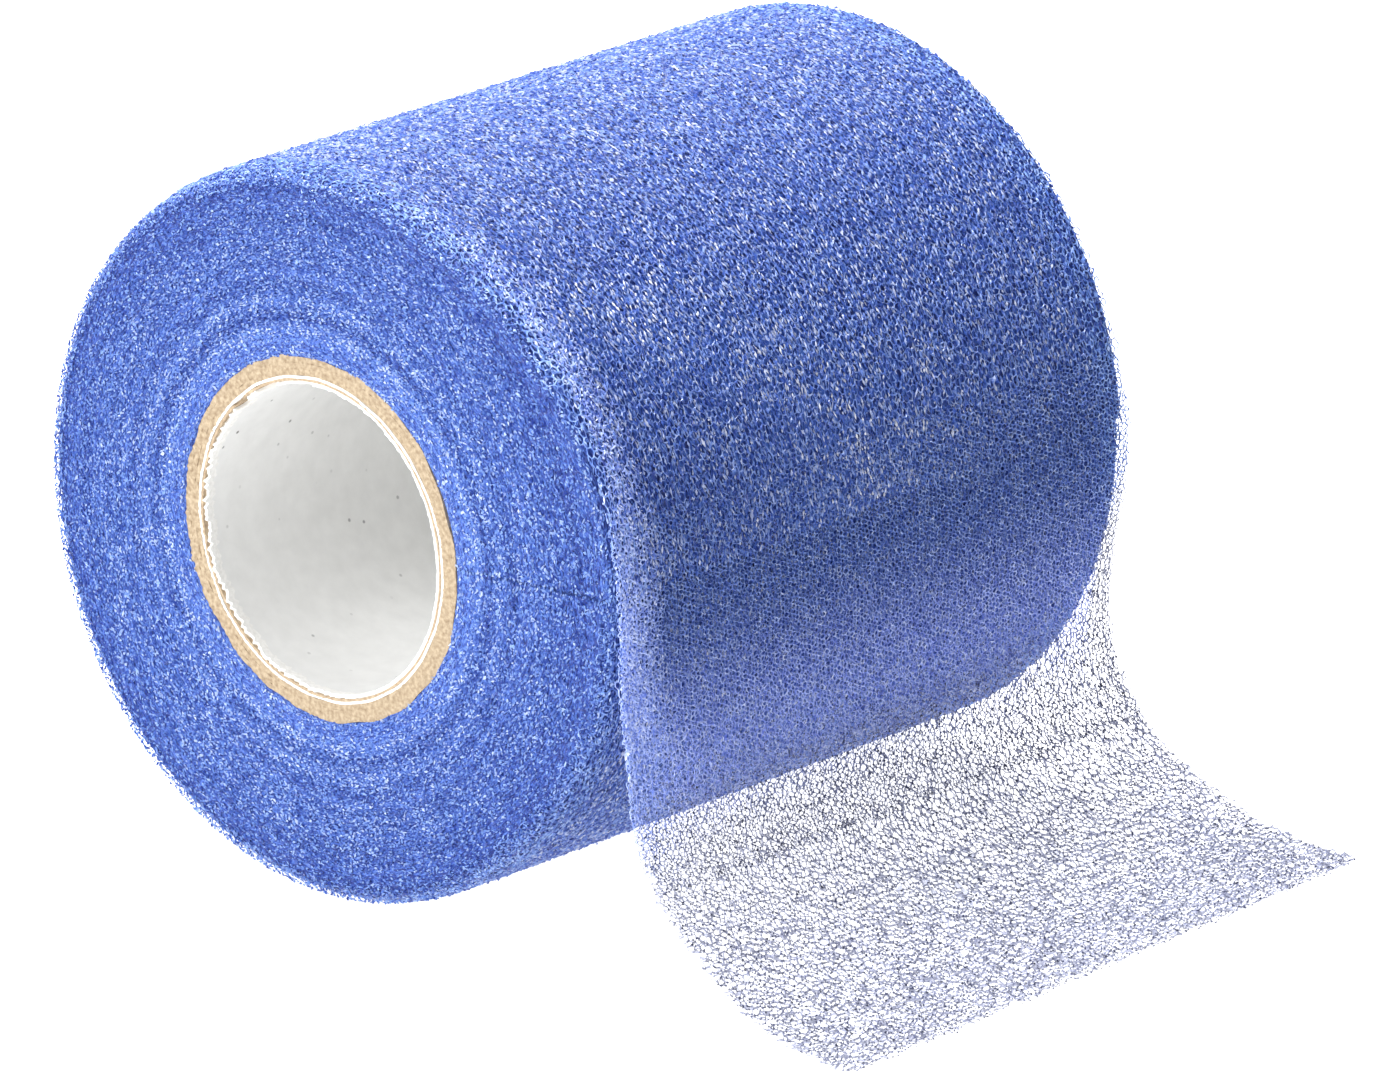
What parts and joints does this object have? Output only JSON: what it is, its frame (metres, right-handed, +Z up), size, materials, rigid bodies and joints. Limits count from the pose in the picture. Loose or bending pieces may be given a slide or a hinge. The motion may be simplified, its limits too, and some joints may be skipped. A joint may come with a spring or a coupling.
{
  "type": "underwrap roll",
  "caption": "Roll of thin open-cell foam underwrap film on a paper core, lying on its side, with its loose end hanging in front and sweeping forward.",
  "frame": {"origin": "middle of the core's bore, half way along the roll", "axes": "+Y along the roll's axis; +Z up; +X towards the loose end of the film"},
  "size_m": [0.0959, 0.07, 0.0679],
  "materials": {
    "liner_paper": "smooth matte",
    "white_paper": "matte",
    "kraft_paper": "matte",
    "start_tape": "satin",
    "wound_foam": "matte",
    "loose_foam": "matte"
  },
  "bodies": {
    "roll": {"core_liner": "liner_paper", "core_backing_ply": "kraft_paper", "core_white_ply": "white_paper", "core_kraft_inner": "kraft_paper", "core_kraft_middle": "kraft_paper", "core_kraft_outer": "kraft_paper", "start_tape": "start_tape", "wound_film": "wound_foam", "outer_turn": "wound_foam"},
    "drop": {"tail_drop": "loose_foam"},
    "sweep": {"tail_sweep": "loose_foam"},
    "foot": {"tail_foot": "loose_foam"}
  },
  "joints": [
    {"name": "tail_lift", "type": "hinge", "parent": "roll", "child": "drop", "pos_m": [0.03432, 0, 0.0024], "axis": [0, -1, 0], "range_deg": [0, 90]},
    {"name": "sweep_lift", "type": "hinge", "parent": "drop", "child": "sweep", "pos_m": [0.03571, 0, -0.0175], "axis": [0, -1, 0], "range_deg": [0, 45]},
    {"name": "foot_lift", "type": "hinge", "parent": "sweep", "child": "foot", "pos_m": [0.04324, 0, -0.02956], "axis": [0, -1, 0], "range_deg": [0, 45]}
  ]
}
